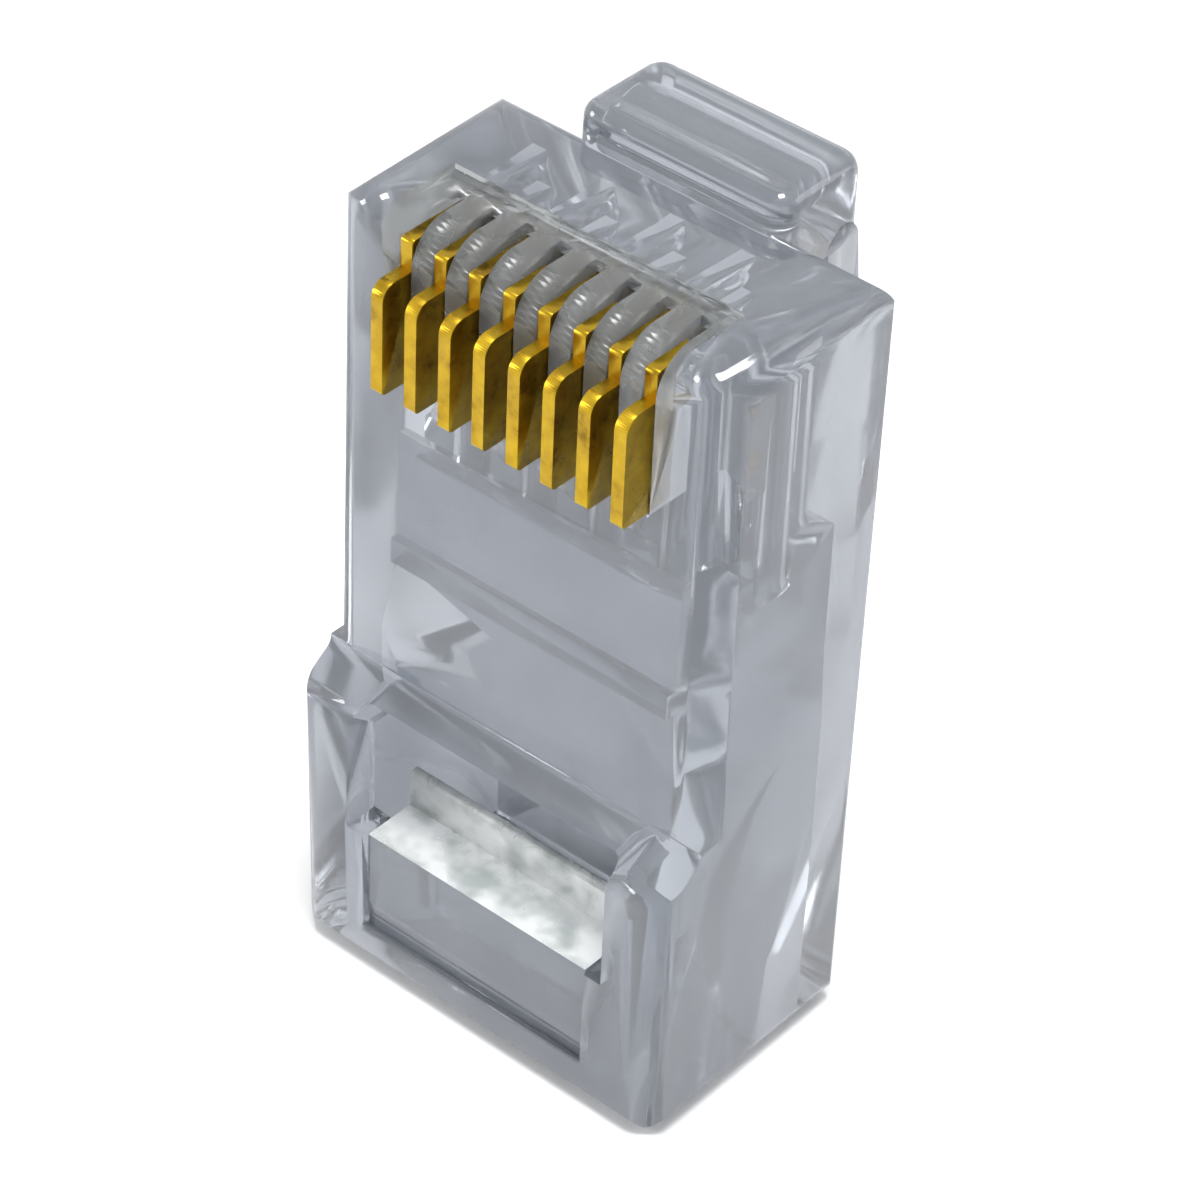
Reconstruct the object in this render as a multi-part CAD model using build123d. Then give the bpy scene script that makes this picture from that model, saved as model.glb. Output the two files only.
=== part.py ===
from build123d import *
import os

# A clear eight-way modular plug with staggered conductor channels, before it is crimped.
# It stands on its cable end: X runs across the contacts, -Y is the contact side,
# +Y the latch side and +Z the nose. The origin is the centre of the flat cable-end face.
# All sizes are millimetres. A depth is measured inwards from the contact face of the nose,
# and a drop is measured down from the nose.

# Outer body
body_width = 11.68
base_thickness = 7.1
nose_height = 21.8
bulge_proud = 1.3
bulge_height = 7.5
bulge_slope_height = 0.9
bulge_root_rise = 0.24
latch_side_nose_radius = 1.0
contact_side_nose_radius = 0.65
slope_edge_radius = 0.4
base_edge_radius = 0.6
nose_side_radius = 0.9
base_side_radius = 0.8
contact_side_edge_radius = 0.75
latch_side_edge_radius = 0.25

# Contacts and their slots
contact_count = 8
contact_pitch = 1.02
blade_thickness = 0.35
slot_side_clearance = 0.03
slot_end_clearance = 0.05
blade_top_drop = 0.6
blade_bottom_drop = 4.35
crown_top_drop = 1.4
crown_proud = 0.9
crown_top_radius = 0.4
crown_foot_radius = 0.12
cap_depth = 0.06
tooth_height = 0.85
tooth_tip_width = 0.14
tooth_notch_width = 0.45
tooth_margin = 0.3
tooth_to_channel = 0.08
crimp_travel = 1.1

# Conductor channels, in two staggered rows
channel_diameter = 1.06
near_channel_depth = 2.9
channel_row_step = 1.05
channel_end_drop = 0.95
lead_in_height = 0.3
lead_in_growth = 0.14

# Comb at the nose, where the jack springs run in between the ribs
comb_half_width = 4.25
comb_recess_depth = 2.4
comb_recess_drop = 0.25
rib_nose_radius = 1.1
open_slot_depth = 2.0

# Cable cavity
jacket_half_width = 4.55
bulge_wall = 1.0
front_wall = 1.0
latch_side_wall = 0.95
funnel_start_height = 9.4
funnel_end_height = 11.5
ledge_height = 0.7
ledge_depth = 0.9
fan_in_half_width = 4.25
fan_in_front_depth = 1.5
fan_in_back_depth = 4.85
fan_in_top = 15.2
guide_front_depth = 2.0
guide_back_depth = 3.48
guide_drop = 1.0
mouth_flare = 0.1
window_depth = 1.5

# Strain-relief window and its bar
window_half_width = 4.1
window_top = 7.95
window_top_rounding = 0.3
bar_half_width = 3.5
bar_side_clearance = 0.08
bar_hinge_height = 1.35
bar_hinge_depth_in_bulge = 0.5
bar_foot_radius = 0.3
bar_top = 4.3
bar_face_inset = 0.15
bar_face_start = 0.4
bar_top_depth = 1.5
bar_lip_height = 1.1
bar_lip_thickness = 0.3
bar_lip_radius = 0.12
bar_lip_root_drop = 0.4
bar_lip_root_radius = 0.3
bar_neck_height = 0.35

# Latch
latch_width = 6.2
slab_reach = 2.3
slab_inset = 0.74
slab_rise = 1.0
slab_drop = 1.2
slab_edge_radius = 0.6
slab_top_radius = 0.5
latch_thickness = 1.1
latch_hinge_reach = 1.55
latch_tilt = 7.0
shoulder_drop = 8.4
shoulder_edge_radius = 0.15
lever_width = 3.25
lever_end_drop = 14.8
lever_end_thickness = 0.8
lever_end_radius = 0.3
lever_thinning_start = 1.0
lever_ridge_count = 3
lever_ridge_pitch = 0.9
lever_ridge_height = 0.16
lever_ridge_margin = 0.3
hinge_clearance = 0.03

# How far a cut runs on past the surface that it opens, and how far joined shapes overlap
cut_overrun = 1.0
joint_overlap = 0.01

# Worked-out places
half_width = body_width / 2
nose_thickness = base_thickness - bulge_proud
latch_face_y = (nose_thickness + bulge_proud) / 2
contact_face_y = latch_face_y - nose_thickness
bulge_face_y = contact_face_y - bulge_proud
slot_width = blade_thickness + 2 * slot_side_clearance
channel_radius = channel_diameter / 2
cavity_back_y = latch_face_y - latch_side_wall
bar_pivot_y = bulge_face_y + bar_hinge_depth_in_bulge
latch_pivot_y = latch_face_y + latch_hinge_reach
latch_pivot_z = nose_height - slab_drop


def at_depth(depth):
    """The Y of a point a given depth behind the contact face of the nose."""
    return contact_face_y + depth


def at_drop(drop):
    """The Z of a point a given drop below the nose."""
    return nose_height - drop


def contact_x(index):
    """The X of a contact, counted from 0 at the -X side."""
    return (index - (contact_count - 1) / 2) * contact_pitch


def channel_depth(index):
    """Odd contacts use the near row of channels and even ones the far row."""
    return near_channel_depth + (0 if index % 2 else channel_row_step)


def tooth_tip_depth(index):
    """Before crimping the teeth stop just short of their channel."""
    return channel_depth(index) - channel_radius - tooth_to_channel


def box_between(x_range, y_range, z_range):
    """A box given by its limits."""
    size = [high - low for low, high in (x_range, y_range, z_range)]
    middle = [(low + high) / 2 for low, high in (x_range, y_range, z_range)]
    return Pos(*middle) * Box(*size)


def side_profile(points, roundings=()):
    """A face in the Y-Z plane. Each rounding is a corner's number and its radius."""
    face = make_face(Polyline([(0, y, z) for y, z in points], close=True).edges())
    for number, radius in roundings:
        y, z = points[number]
        face = fillet(face.vertices().sort_by_distance((0, y, z))[0], radius)
    return face


def along_x(face, half_length, x=0):
    """A side profile made solid, evenly to both sides of x."""
    return Pos(x, 0, 0) * extrude(face, amount=half_length, dir=(1, 0, 0), both=True)


def rod_along_x(y, z, radius, half_length):
    """A round rod lying along X."""
    return Pos(0, y, z) * Rot(0, 90, 0) * Cylinder(radius, 2 * half_length)


def outer_body():
    """The solid block: thin nose, thicker cable end, with all its moulded edge radii."""
    face = side_profile(
        [
            (bulge_face_y, 0),
            (latch_face_y, 0),
            (latch_face_y, nose_height),
            (contact_face_y, nose_height),
            (contact_face_y, bulge_height + bulge_slope_height),
            (bulge_face_y, bulge_height),
        ],
        [
            (0, base_edge_radius),
            (1, base_edge_radius),
            (2, latch_side_nose_radius),
            (3, contact_side_nose_radius),
            (4, slope_edge_radius),
            (5, slope_edge_radius),
        ],
    )
    return along_x(face, half_width + cut_overrun) & upright_outline() & front_outline()


def upright_outline():
    """Rounds the upright edges: one prism for the nose, with one for the bulge before it."""
    nose = box_between((-half_width, half_width), (contact_face_y, latch_face_y), (0, nose_height))
    nose = fillet(nose.edges().filter_by(Axis.Z).group_by(Axis.Y)[-1], latch_side_edge_radius)
    nose = fillet(nose.edges().filter_by(Axis.Z).group_by(Axis.Y)[0], contact_side_edge_radius)
    bulge = box_between(
        (-half_width, half_width),
        (bulge_face_y, contact_face_y + 2 * contact_side_edge_radius),
        (0, bulge_height + bulge_slope_height + bulge_root_rise),
    )
    bulge = fillet(bulge.edges().filter_by(Axis.Z).group_by(Axis.Y)[0], contact_side_edge_radius)
    return nose + bulge


def front_outline():
    """The body's outline seen from the front, as a bar that trims its nose and base corners."""
    sketch = Plane.XZ * Pos(0, nose_height / 2) * Rectangle(body_width, nose_height)
    top = sketch.vertices().group_by(Axis.Z)[-1]
    sketch = fillet(top, nose_side_radius)
    bottom = sketch.vertices().group_by(Axis.Z)[0]
    sketch = fillet(bottom, base_side_radius)
    return extrude(sketch, amount=body_width, both=True)


def comb_recess():
    """Lowers the ribs a little below the nose and rounds their front corners."""
    low = at_drop(comb_recess_drop)
    foot = low - 2 * rib_nose_radius
    face = side_profile(
        [
            (at_depth(-cut_overrun), at_drop(-cut_overrun)),
            (at_depth(comb_recess_depth), at_drop(-cut_overrun)),
            (at_depth(comb_recess_depth), low),
            (at_depth(0), low),
            (at_depth(0), foot),
            (at_depth(-cut_overrun), foot),
        ],
        [(2, comb_recess_drop / 2), (3, rib_nose_radius)],
    )
    return along_x(face, comb_half_width)


def blade_slot(index):
    """The slot of one contact: open to the contact face and, near it, to the nose."""
    x = contact_x(index)
    across = (x - slot_width / 2, x + slot_width / 2)
    deepest = tooth_tip_depth(index) + crimp_travel + slot_end_clearance
    bottom = at_drop(blade_bottom_drop + slot_end_clearance)
    pocket_top = at_drop(blade_top_drop - slot_end_clearance)
    front = at_depth(-cut_overrun)
    pocket = box_between(across, (front, at_depth(deepest)), (bottom, pocket_top))
    open_part = box_between(
        across, (front, at_depth(open_slot_depth)), (bottom, nose_height + cut_overrun)
    )
    return pocket + open_part


def conductor_channel(index):
    """A round-ended bore for one conductor, with a lead-in cone where the conductor enters."""
    x = contact_x(index)
    y = at_depth(channel_depth(index))
    entry = fan_in_top - guide_drop if index % 2 else fan_in_top
    dome_z = at_drop(channel_end_drop) - channel_radius
    bore = Pos(x, y, (entry + dome_z) / 2) * Cylinder(channel_radius, dome_z - entry)
    dome = Pos(x, y, dome_z) * Sphere(channel_radius)
    cone = Pos(x, y, entry + lead_in_height / 2) * Cone(
        channel_radius + lead_in_growth, channel_radius, lead_in_height
    )
    return bore + dome + cone


def fan_in():
    """The flat space where the conductors spread out in front of the channels."""
    wide = (-fan_in_half_width, fan_in_half_width)
    deep = (at_depth(fan_in_front_depth), at_depth(fan_in_back_depth))
    space = box_between(wide, deep, (funnel_end_height, fan_in_top))
    step = box_between(
        wide,
        (at_depth(ledge_depth), at_depth(fan_in_back_depth)),
        (funnel_end_height, funnel_end_height + ledge_height),
    )
    guide = box_between(
        wide,
        (at_depth(guide_front_depth), at_depth(guide_back_depth)),
        (fan_in_top - guide_drop, fan_in_top),
    )
    return space + step - guide


def funnel():
    """The slanted part that leads the conductors from the jacket space to the fan-in."""
    def section(half, front_y, back_y, z):
        outline = Rectangle(2 * half, back_y - front_y)
        return Pos(0, (front_y + back_y) / 2, z) * outline

    lower = section(jacket_half_width, at_depth(front_wall), cavity_back_y, funnel_start_height)
    upper = section(
        fan_in_half_width, at_depth(fan_in_front_depth), at_depth(fan_in_back_depth), funnel_end_height
    )
    return loft([lower, upper])


def jacket_space():
    """The space for the cable jacket, with a flared mouth in the cable end."""
    wide = (-jacket_half_width, jacket_half_width)
    upper = box_between(wide, (at_depth(front_wall), cavity_back_y), (-cut_overrun, funnel_start_height))
    inner_y = bulge_face_y + bulge_wall
    lower = box_between(wide, (inner_y, cavity_back_y), (-cut_overrun, bulge_height - bulge_wall / 2))
    mouth_y = (inner_y + cavity_back_y) / 2
    mouth_deep = cavity_back_y - inner_y
    outer = Pos(0, mouth_y) * Rectangle(2 * (jacket_half_width + mouth_flare), mouth_deep + 2 * mouth_flare)
    inner = Pos(0, mouth_y, mouth_flare) * Rectangle(2 * jacket_half_width, mouth_deep)
    return upper + lower + loft([outer, inner])


def strain_relief_window():
    """The opening in the bulge: wide above the bar, narrow beside it, with the bar's foot groove."""
    through = (bulge_face_y - cut_overrun, at_depth(window_depth))
    wide_part = box_between((-window_half_width, window_half_width), through, (bar_top, window_top))
    upper_edges = wide_part.edges().filter_by(Axis.Y).group_by(Axis.Z)[-1]
    wide_part = fillet(upper_edges, window_top_rounding)
    narrow_half = bar_half_width + bar_side_clearance
    narrow_part = box_between(
        (-narrow_half, narrow_half), through, (bar_hinge_height, bar_top + joint_overlap)
    )
    groove = rod_along_x(bar_pivot_y, bar_hinge_height, bar_foot_radius + hinge_clearance, narrow_half)
    return wide_part + narrow_part + groove


def latch_slab():
    """The block that carries the latch: it stands above the nose and out from the latch side."""
    slab = box_between(
        (-latch_width / 2, latch_width / 2),
        (latch_face_y - slab_inset, latch_face_y + slab_reach),
        (at_drop(slab_drop), nose_height + slab_rise),
    )
    slab = fillet(slab.edges().filter_by(Axis.Z), slab_edge_radius)
    return fillet(slab.faces().sort_by(Axis.Z)[-1].edges(), slab_top_radius)


def housing():
    """The moulded body with its comb, channels, cavity, window and latch slab."""
    body = outer_body() + latch_slab()
    body -= rod_along_x(latch_pivot_y, latch_pivot_z, latch_thickness / 2 + hinge_clearance, latch_width)
    body -= comb_recess()
    for index in range(contact_count):
        body -= blade_slot(index)
    for index in range(contact_count):
        body -= conductor_channel(index)
    body -= fan_in()
    body -= funnel()
    body -= jacket_space()
    body -= strain_relief_window()
    return body


def contact(index):
    """One stamped blade: a proud crown, a cap in the slot and two piercing teeth."""
    tip = tooth_tip_depth(index)
    root = tip - tooth_height
    top = blade_top_drop
    bottom = blade_bottom_drop
    points = [
        (at_depth(-crown_proud), at_drop(crown_top_drop)),
        (at_depth(cap_depth), at_drop(crown_top_drop)),
        (at_depth(cap_depth), at_drop(top)),
        (at_depth(root), at_drop(top)),
    ]
    first = top + tooth_margin
    base_width = (bottom - top - 2 * tooth_margin - tooth_notch_width) / 2
    for start in (first, first + base_width + tooth_notch_width):
        middle = start + base_width / 2
        points += [
            (at_depth(root), at_drop(start)),
            (at_depth(tip), at_drop(middle - tooth_tip_width / 2)),
            (at_depth(tip), at_drop(middle + tooth_tip_width / 2)),
            (at_depth(root), at_drop(start + base_width)),
        ]
    points += [
        (at_depth(root), at_drop(bottom)),
        (at_depth(-crown_proud), at_drop(bottom)),
    ]
    roundings = [(0, crown_top_radius), (2, crown_foot_radius), (len(points) - 1, crown_foot_radius)]
    return along_x(side_profile(points, roundings), blade_thickness / 2, contact_x(index))


def latch():
    """The sprung arm: a wide part up to its locking shoulders, then a narrow thumb lever."""
    half_thick = latch_thickness / 2
    arm_length = shoulder_drop - slab_drop
    lever_length = lever_end_drop - slab_drop
    wide = box_between(
        (-latch_width / 2, latch_width / 2), (-half_thick, half_thick), (-arm_length, 0)
    )
    foot_edges = wide.edges().filter_by(Axis.X).group_by(Axis.Z)[0]
    wide = fillet(foot_edges, shoulder_edge_radius)
    head = Rot(0, 90, 0) * Cylinder(half_thick, latch_width)
    lever_face = side_profile(
        [
            (-half_thick, 0),
            (half_thick, 0),
            (half_thick, -lever_length),
            (half_thick - lever_end_thickness, -lever_length),
            (-half_thick, -arm_length - lever_thinning_start),
        ],
        [(2, lever_end_radius), (3, lever_end_radius)],
    )
    lever = along_x(lever_face, lever_width / 2)
    arm = wide + head + lever
    ridge_length = lever_width - 2 * lever_ridge_margin
    for number in range(lever_ridge_count):
        z = -lever_length + lever_ridge_pitch * (number + 1)
        ridge = Pos(0, half_thick, z) * Rot(0, 90, 0) * Cylinder(lever_ridge_height, ridge_length)
        arm += ridge
    return Pos(0, latch_pivot_y, latch_pivot_z) * Rot(latch_tilt, 0, 0) * arm


def strain_relief_bar():
    """The bar that is pressed on to the cable jacket, on a hinged foot, with an inner lip."""
    face_y = bulge_face_y + bar_face_inset
    neck_z = bar_hinge_height + bar_neck_height
    inner_y = face_y + bar_top_depth
    profile = side_profile(
        [
            (bar_pivot_y - bar_foot_radius, bar_hinge_height),
            (bar_pivot_y - bar_foot_radius, neck_z),
            (face_y, neck_z + bar_face_start),
            (face_y, bar_top),
            (inner_y, bar_top),
            (inner_y, bar_top + bar_lip_height),
            (inner_y + bar_lip_thickness, bar_top + bar_lip_height),
            (inner_y + bar_lip_thickness, bar_top - bar_lip_root_drop),
            (bar_pivot_y + bar_foot_radius, neck_z),
            (bar_pivot_y + bar_foot_radius, bar_hinge_height),
        ],
        [(5, bar_lip_radius), (6, bar_lip_radius), (7, bar_lip_root_radius)],
    )
    bar = along_x(profile, bar_half_width)
    return bar + rod_along_x(bar_pivot_y, bar_hinge_height, bar_foot_radius, bar_half_width)


nodes = {
    "housing": housing(),
    "latch": latch(),
    "strain_relief_bar": strain_relief_bar(),
}
for index in range(contact_count):
    nodes[f"contact_{index + 1}"] = contact(index)

os.makedirs("parts", exist_ok=True)
for name, shape in nodes.items():
    export_step(shape, f"parts/{name}.step")
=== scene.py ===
import math

import bmesh
import bpy
from mathutils import Matrix, Vector


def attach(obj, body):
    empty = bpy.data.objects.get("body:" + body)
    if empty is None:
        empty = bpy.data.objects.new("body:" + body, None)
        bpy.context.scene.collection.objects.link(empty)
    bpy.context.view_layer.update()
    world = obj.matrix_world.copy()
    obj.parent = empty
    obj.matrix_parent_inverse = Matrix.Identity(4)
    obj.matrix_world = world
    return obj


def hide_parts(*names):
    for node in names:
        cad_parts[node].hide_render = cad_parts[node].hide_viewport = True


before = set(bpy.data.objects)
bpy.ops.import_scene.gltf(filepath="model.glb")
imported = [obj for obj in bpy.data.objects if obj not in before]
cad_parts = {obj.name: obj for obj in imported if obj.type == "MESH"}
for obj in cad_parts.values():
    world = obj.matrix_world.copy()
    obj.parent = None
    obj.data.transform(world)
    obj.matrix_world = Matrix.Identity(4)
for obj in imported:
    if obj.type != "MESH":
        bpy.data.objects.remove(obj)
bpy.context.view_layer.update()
print("frame loaded")

mm = 0.001
contactCount = 8

bpy.context.scene.view_settings.view_transform = "Standard"


# small helpers for node trees

def addNode(tree, kind, **values):
    node = tree.nodes.new(kind)
    for key, value in values.items():
        setattr(node, key, value)
    return node


def setInputs(node, **values):
    for key, value in values.items():
        node.inputs[key.replace("_", " ")].default_value = value
    return node


def newGroup(name, inputs, outputs):
    group = bpy.data.node_groups.new(name, "ShaderNodeTree")
    for socketName, socketType, value in inputs:
        socket = group.interface.new_socket(socketName, in_out="INPUT", socket_type=socketType)
        if value is not None:
            socket.default_value = value
    for socketName, socketType in outputs:
        group.interface.new_socket(socketName, in_out="OUTPUT", socket_type=socketType)
    return group, group.nodes.new("NodeGroupInput"), group.nodes.new("NodeGroupOutput")


def placeGroup(tree, group, vector, **values):
    node = addNode(tree, "ShaderNodeGroup", node_tree=group)
    tree.links.new(vector, node.inputs["Vector"])
    return setInputs(node, **values)


# shared effects: they put out masks and heights only

hazeBreadth = 0.55   # of the waves' scale, so the hazy patches are nearly twice as broad


def makeFlowLines():
    # faint waves, specks and hazy patches, for the plastic and for the plating
    group, start, end = newGroup(
        "mouldFlow",
        [("Vector", "NodeSocketVector", None), ("Wave Scale", "NodeSocketFloat", 400.0),
         ("Grain Scale", "NodeSocketFloat", 3000.0), ("Grain Share", "NodeSocketFloat", 0.2)],
        [("Height", "NodeSocketFloat"), ("Haze", "NodeSocketFloat")])
    stretch = addNode(group, "ShaderNodeMapping")
    setInputs(stretch, Scale=(1.0, 1.0, 0.35))
    wave = setInputs(addNode(group, "ShaderNodeTexNoise"), Detail=1.0, Roughness=0.45)
    grain = setInputs(addNode(group, "ShaderNodeTexNoise"), Detail=0.0)
    haze = setInputs(addNode(group, "ShaderNodeTexNoise"), Detail=2.0, Roughness=0.6)
    hazeStep = setInputs(addNode(group, "ShaderNodeMapRange"), From_Min=0.42, From_Max=0.68)
    mix = addNode(group, "ShaderNodeMix", data_type="FLOAT")
    hazeScale = addNode(group, "ShaderNodeMath", operation="MULTIPLY")
    hazeScale.inputs[1].default_value = hazeBreadth
    link = group.links.new
    link(start.outputs["Vector"], stretch.inputs["Vector"])
    link(stretch.outputs["Vector"], wave.inputs["Vector"])
    link(start.outputs["Wave Scale"], wave.inputs["Scale"])
    link(start.outputs["Vector"], grain.inputs["Vector"])
    link(start.outputs["Grain Scale"], grain.inputs["Scale"])
    link(start.outputs["Wave Scale"], hazeScale.inputs[0])
    link(hazeScale.outputs["Value"], haze.inputs["Scale"])
    link(start.outputs["Vector"], haze.inputs["Vector"])
    link(haze.outputs["Fac"], hazeStep.inputs["Value"])
    link(start.outputs["Grain Share"], mix.inputs["Factor"])
    link(wave.outputs["Fac"], mix.inputs["A"])
    link(grain.outputs["Fac"], mix.inputs["B"])
    link(mix.outputs["Result"], end.inputs["Height"])
    link(hazeStep.outputs["Result"], end.inputs["Haze"])
    return group


def makeRubMarks():
    # long thin scuffs, used on the plastic and, finer, on the plating
    group, start, end = newGroup(
        "rubMarks",
        [("Vector", "NodeSocketVector", None), ("Scale", "NodeSocketFloat", 900.0),
         ("Stretch", "NodeSocketVector", (1.0, 1.0, 0.06))],
        [("Marks", "NodeSocketFloat")])
    turn = addNode(group, "ShaderNodeMapping")
    setInputs(turn, Rotation=(0.0, math.radians(9), math.radians(14)))
    noise = setInputs(addNode(group, "ShaderNodeTexNoise"), Detail=1.0, Roughness=0.7)
    cut = setInputs(addNode(group, "ShaderNodeMapRange"), From_Min=0.6, From_Max=0.72)
    link = group.links.new
    link(start.outputs["Vector"], turn.inputs["Vector"])
    link(start.outputs["Stretch"], turn.inputs["Scale"])
    link(turn.outputs["Vector"], noise.inputs["Vector"])
    link(start.outputs["Scale"], noise.inputs["Scale"])
    link(noise.outputs["Fac"], cut.inputs["Value"])
    link(cut.outputs["Result"], end.inputs["Marks"])
    return group


flowLines = makeFlowLines()
rubMarks = makeRubMarks()


# materials

clearPlastic = {
    "lightTint": (0.47, 0.50, 0.55, 1.0),
    "deepTint": (0.39, 0.418, 0.47, 1.0),
    "clearness": 0.78,
    "polished": 0.05,
    "hazy": 0.15,
    "ior": 1.585,
    "waveScale": 420.0,
    "waveHeight": 0.000012,
    "waveStrength": 0.5,
    "grainShare": 0.02,
    "rubbed": 0.08,   # roughness that a scuff adds
}

frostedPlastic = dict(
    clearPlastic,
    lightTint=(0.95, 0.97, 0.96, 1.0),
    deepTint=(0.48, 0.52, 0.51, 1.0),
    clearness=0.3,
    polished=0.12,
    hazy=0.5,
    waveScale=1700.0,
    waveHeight=0.00008,
    grainShare=0.3,
)

mattPlastic = dict(
    clearPlastic,
    lightTint=(0.58, 0.59, 0.57, 1.0),
    deepTint=(0.48, 0.49, 0.47, 1.0),
    clearness=0.84,
    polished=0.2,
    hazy=0.32,
)


def makePlastic(name, look):
    material = bpy.data.materials.new(name)
    material.use_nodes = True
    tree = material.node_tree
    shader = tree.nodes["Principled BSDF"]
    setInputs(shader, IOR=look["ior"], Transmission_Weight=look["clearness"], Metallic=0.0)
    place = addNode(tree, "ShaderNodeTexCoord")
    flow = placeGroup(
        tree, flowLines, place.outputs["Object"],
        Wave_Scale=look["waveScale"], Grain_Share=look["grainShare"])
    rubs = placeGroup(tree, rubMarks, place.outputs["Object"])
    tint = addNode(tree, "ShaderNodeMix", data_type="RGBA")
    tint.inputs["A"].default_value = look["lightTint"]
    tint.inputs["B"].default_value = look["deepTint"]
    rough = setInputs(addNode(tree, "ShaderNodeMapRange"), To_Min=look["polished"], To_Max=look["hazy"])
    rubAdd = addNode(tree, "ShaderNodeMath", operation="MULTIPLY_ADD")
    rubAdd.inputs[1].default_value = look["rubbed"]
    bump = addNode(tree, "ShaderNodeBump")
    setInputs(bump, Strength=look["waveStrength"], Distance=look["waveHeight"])
    link = tree.links.new
    link(flow.outputs["Haze"], tint.inputs["Factor"])
    link(flow.outputs["Haze"], rough.inputs["Value"])
    link(rubs.outputs["Marks"], rubAdd.inputs[0])
    link(rough.outputs["Result"], rubAdd.inputs[2])
    link(flow.outputs["Height"], bump.inputs["Height"])
    link(tint.outputs["Result"], shader.inputs["Base Color"])
    link(rubAdd.outputs["Value"], shader.inputs["Roughness"])
    link(bump.outputs["Normal"], shader.inputs["Normal"])
    return material


goldPlating = {
    "bright": (0.52, 0.34, 0.022, 1.0),
    "deep": (0.40, 0.25, 0.018, 1.0),
    "tarnish": (0.19, 0.11, 0.008, 1.0),
    "polished": 0.22,
    "worn": 0.46,
    "tarnishEnd": 0.3,
    "deepAt": 0.42,
    "brightStart": 0.62,
    "cloudScale": 1300.0,
    "waveScale": 900.0,
    "grainShare": 0.5,
    "drawScale": 2600.0,
    "drawHeight": 0.000012,
    "drawShare": 0.5,
    "drawStrength": 0.6,
}


def makePlating(name, look):
    material = bpy.data.materials.new(name)
    material.use_nodes = True
    tree = material.node_tree
    shader = tree.nodes["Principled BSDF"]
    setInputs(shader, Metallic=1.0)
    place = addNode(tree, "ShaderNodeTexCoord")
    flow = placeGroup(
        tree, flowLines, place.outputs["Object"],
        Wave_Scale=look["waveScale"], Grain_Share=look["grainShare"])
    drawn = placeGroup(
        tree, rubMarks, place.outputs["Object"], Scale=look["drawScale"], Stretch=(1.0, 1.0, 0.05))
    cloud = addNode(tree, "ShaderNodeTexNoise")
    setInputs(cloud, Scale=look["cloudScale"], Detail=4.0, Roughness=0.65)
    ramp = addNode(tree, "ShaderNodeValToRGB")
    ramp.color_ramp.elements[0].position = look["tarnishEnd"]
    ramp.color_ramp.elements[0].color = look["tarnish"]
    ramp.color_ramp.elements[1].position = look["brightStart"]
    ramp.color_ramp.elements[1].color = look["bright"]
    middle = ramp.color_ramp.elements.new(look["deepAt"])
    middle.color = look["deep"]
    rough = setInputs(addNode(tree, "ShaderNodeMapRange"), To_Min=look["polished"], To_Max=look["worn"])
    heights = addNode(tree, "ShaderNodeMath", operation="MULTIPLY_ADD")
    heights.inputs[1].default_value = look["drawShare"]
    bump = addNode(tree, "ShaderNodeBump")
    setInputs(bump, Strength=look["drawStrength"], Distance=look["drawHeight"])
    link = tree.links.new
    link(place.outputs["Object"], cloud.inputs["Vector"])
    link(cloud.outputs["Fac"], ramp.inputs["Fac"])
    link(ramp.outputs["Color"], shader.inputs["Base Color"])
    link(flow.outputs["Haze"], rough.inputs["Value"])
    link(rough.outputs["Result"], shader.inputs["Roughness"])
    link(drawn.outputs["Marks"], heights.inputs[0])
    link(flow.outputs["Height"], heights.inputs[2])
    link(heights.outputs["Value"], bump.inputs["Height"])
    link(bump.outputs["Normal"], shader.inputs["Normal"])
    return material


clearMaterial = makePlastic("clearPolycarbonate", clearPlastic)
frostedMaterial = makePlastic("frostedPolycarbonate", frostedPlastic)
mattMaterial = makePlastic("mattPolycarbonate", mattPlastic)
goldMaterial = makePlating("goldPlating", goldPlating)
print("materials made")


# the pieces: merged copies of the CAD solids, shaded smooth between their real edges

clearLook = {"slot": "clear_plastic", "material": clearMaterial, "sharp": 32}
pieceLooks = {
    "housing": dict(clearLook, piece="housingShell"),
    "latch": dict(clearLook, piece="latchArm"),
    "strain_relief_bar": dict(clearLook, piece="strainBar"),
}
mergeDistance = 0.5e-6


def mergedCopy(nodeName, look):
    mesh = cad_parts[nodeName].data.copy()
    mesh.name = look["piece"]
    shape = bmesh.new()
    shape.from_mesh(mesh)
    bmesh.ops.remove_doubles(shape, verts=shape.verts, dist=mergeDistance)
    for face in shape.faces:
        face.smooth = True
    shape.to_mesh(mesh)
    shape.free()
    mesh.set_sharp_from_angle(angle=math.radians(look["sharp"]))
    mesh.materials.clear()
    mesh.materials.append(look["material"])
    piece = bpy.data.objects.new(look["piece"], mesh)
    bpy.context.scene.collection.objects.link(piece)
    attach(piece, nodeName)
    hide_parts(nodeName)
    return piece


textured = {
    "facing": 0.4,
    "shelfHeight": 4.3 * mm,
    "combHalfWidth": 4.26 * mm,
    "combFoot": 17.3 * mm,
    "combBack": 0.16 * mm,
}


def onShelf(face):
    # the shelf of the bar and the front of its lip are textured in the mould
    onLip = face.normal.y < -textured["facing"] and face.center.z > textured["shelfHeight"]
    return face.normal.z > textured["facing"] or onLip


def onComb(face):
    # the thin ribs between the blades come out of the mould matt
    place = face.center
    return (abs(place.x) < textured["combHalfWidth"] and place.y < textured["combBack"]
            and place.z > textured["combFoot"])


def textureFaces(piece, material, isTextured):
    piece.data.materials.append(material)
    for face in piece.data.polygons:
        if isTextured(face):
            face.material_index = 1


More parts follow.
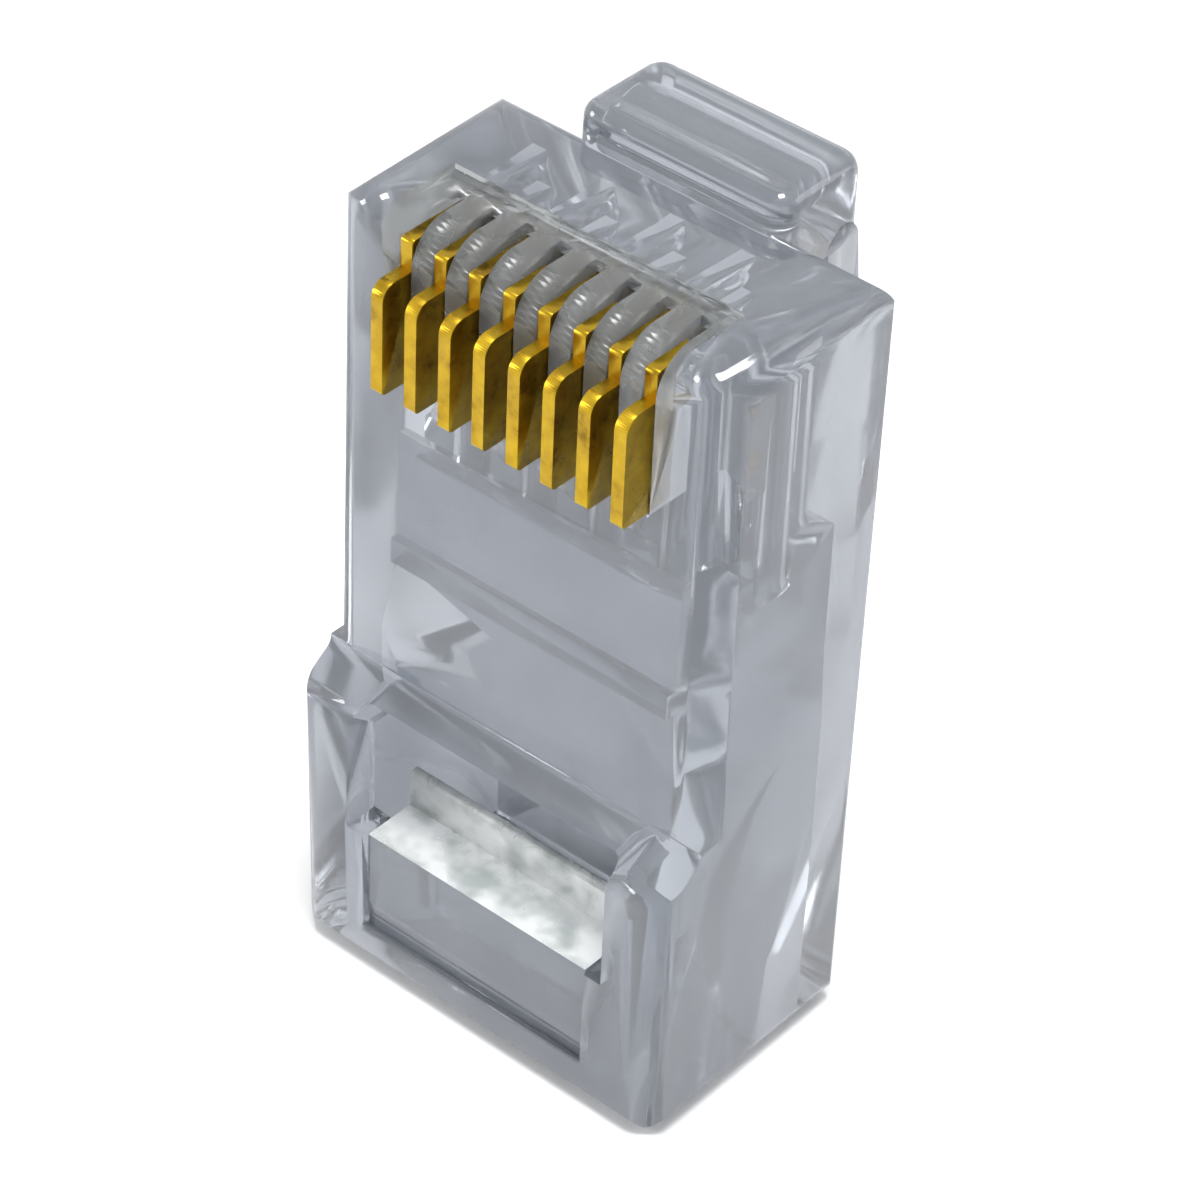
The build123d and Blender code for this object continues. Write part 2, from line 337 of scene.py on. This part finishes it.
shellEdges = {
    "side": 5.84 * mm,
    "noseFace": -2.25 * mm,
    "noseTop": 21.8 * mm,
    "baseFace": -3.55 * mm,
    "baseFoot": 0.0,
}
cornerBalls = [
    {"corner": (shellEdges["side"], shellEdges["noseFace"], shellEdges["noseTop"]),
     "upwards": True, "radius": 0.78 * mm},
    {"corner": (shellEdges["side"], shellEdges["baseFace"], shellEdges["baseFoot"]),
     "upwards": False, "radius": 0.74 * mm},
]


def roundCorner(piece, ball, side):
    # where three roundings meet the mould leaves a ball, and the solid has mitres
    x, y, z = ball["corner"]
    radius = ball["radius"]
    rise = 1 if ball["upwards"] else -1
    outwards = Vector((side, -1, rise))
    middle = Vector((side * (x - radius), y + radius, z - rise * radius))
    for vert in piece.data.vertices:
        reach = vert.co - middle
        isOutside = all(reach[axis] * outwards[axis] > 0 for axis in range(3))
        if isOutside and reach.length > radius:
            vert.co = middle + reach.normalized() * radius


plasticPieces = {nodeName: mergedCopy(nodeName, look) for nodeName, look in pieceLooks.items()}
for ball in cornerBalls:
    for side in (-1, 1):
        roundCorner(plasticPieces["housing"], ball, side)
textureFaces(plasticPieces["housing"], mattMaterial, onComb)
textureFaces(plasticPieces["strain_relief_bar"], frostedMaterial, onShelf)
print("plastic pieces made")

bladeLook = {"slot": "gold_plate", "material": goldMaterial, "sharp": 30}
bladeEdge = {"width": 0.025 * mm, "segments": 2, "angle": 50}


def makeBlade(number):
    look = dict(bladeLook, piece=f"contactBlade{number}")
    piece = mergedCopy(f"contact_{number}", look)
    edge = piece.modifiers.new("stampedEdge", "BEVEL")
    edge.width = bladeEdge["width"]
    edge.segments = bladeEdge["segments"]
    edge.limit_method = "ANGLE"
    edge.angle_limit = math.radians(bladeEdge["angle"])
    edge.harden_normals = True
    return piece


for number in range(1, contactCount + 1):
    makeBlade(number)
print("contacts made")


# floor, light and camera

studio = {
    "floorSize": 0.6,
    "floorColour": (0.93, 0.93, 0.93, 1.0),
    "floorRoughness": 0.8,
    "worldLight": 0.62,
    "lightAim": (0.0, 0.0, 0.01),
    "keySize": 0.085,
    "keyPower": 0.45,
    "keyPlace": (0.03, -0.02, 0.22),
    "sideSize": 0.08,
    "sidePower": 0.22,
    "sidePlace": (-0.20, -0.14, 0.09),
    "backSize": 0.09,
    "backPower": 0.05,
    "backPlace": (0.16, 0.14, 0.10),
}


def seenDirectly(tree):
    # 1 for rays that show the background itself: camera, mirror and glass rays
    path = addNode(tree, "ShaderNodeLightPath")
    first = addNode(tree, "ShaderNodeMath", operation="ADD")
    total = addNode(tree, "ShaderNodeMath", operation="ADD", use_clamp=True)
    tree.links.new(path.outputs["Is Camera Ray"], first.inputs[0])
    tree.links.new(path.outputs["Is Glossy Ray"], first.inputs[1])
    tree.links.new(first.outputs["Value"], total.inputs[0])
    tree.links.new(path.outputs["Is Transmission Ray"], total.inputs[1])
    return total.outputs["Value"]


def makeFloor():
    shape = bmesh.new()
    bmesh.ops.create_grid(shape, x_segments=1, y_segments=1, size=studio["floorSize"] / 2)
    mesh = bpy.data.meshes.new("floor")
    shape.to_mesh(mesh)
    shape.free()
    floor = bpy.data.objects.new("floor", mesh)
    bpy.context.scene.collection.objects.link(floor)
    material = bpy.data.materials.new("floorPaper")
    material.use_nodes = True
    tree = material.node_tree
    shader = tree.nodes["Principled BSDF"]
    setInputs(shader, Base_Color=studio["floorColour"], Roughness=studio["floorRoughness"])
    mesh.materials.append(material)


def makeLight(name, place, size, power):
    lamp = bpy.data.lights.new(name, "AREA")
    lamp.size = size
    lamp.energy = power
    light = bpy.data.objects.new(name, lamp)
    bpy.context.scene.collection.objects.link(light)
    light.location = place
    aim = Vector(studio["lightAim"]) - Vector(place)
    light.rotation_euler = aim.to_track_quat("-Z", "Y").to_euler()


def makeWorld():
    world = bpy.data.worlds.new("studio")
    bpy.context.scene.world = world
    world.use_nodes = True
    tree = world.node_tree
    background = tree.nodes["Background"]
    background.inputs["Color"].default_value = (1, 1, 1, 1)
    level = addNode(tree, "ShaderNodeMapRange")
    setInputs(level, To_Min=studio["worldLight"], To_Max=1.0)
    tree.links.new(seenDirectly(tree), level.inputs["Value"])
    tree.links.new(level.outputs["Result"], background.inputs["Strength"])


makeFloor()
makeWorld()
for lamp in ("key", "side", "back"):
    makeLight(lamp + "Light", studio[lamp + "Place"], studio[lamp + "Size"], studio[lamp + "Power"])

cameraSettings = {
    "target": (0.0, 0.65 * mm, 10.9 * mm),
    "azimuth": 38.57,
    "elevation": 38.25,
    "roll": 3.02,
    "offset": (-0.95 * mm, 1.34 * mm),
    "distance": 104.48 * mm,
    "lens": 4418.9,           # in pixels of the 1200-pixel frame
    "shift": (35.3, -46.5),   # of the same pixels
    "framePixels": 1200.0,
    "sensor": 36.0,
    "near": 0.005,
    "far": 5.0,
}


def makeCamera(look):
    turn = math.radians(look["azimuth"])
    rise = math.radians(look["elevation"])
    back = Vector((math.sin(turn) * math.cos(rise), -math.cos(turn) * math.cos(rise), math.sin(rise)))
    right = Vector((math.cos(turn), math.sin(turn), 0.0))
    up = back.cross(right)
    roll = math.radians(look["roll"])
    rolledRight = right * math.cos(roll) + up * math.sin(roll)
    rolledUp = back.cross(rolledRight)
    place = Vector(look["target"]) + back * look["distance"]
    place += rolledUp * look["offset"][1] - rolledRight * look["offset"][0]
    data = bpy.data.cameras.new("camera")
    camera = bpy.data.objects.new("camera", data)
    bpy.context.scene.collection.objects.link(camera)
    camera.matrix_world = Matrix((rolledRight, rolledUp, back)).transposed().to_4x4()
    camera.location = place
    data.sensor_width = look["sensor"]
    data.lens = look["lens"] * data.sensor_width / look["framePixels"]
    data.shift_x = -look["shift"][0] / look["framePixels"]
    data.shift_y = look["shift"][1] / look["framePixels"]
    data.clip_start = look["near"]
    data.clip_end = look["far"]
    bpy.context.scene.camera = camera


makeCamera(cameraSettings)
print("stage, lights and camera set")
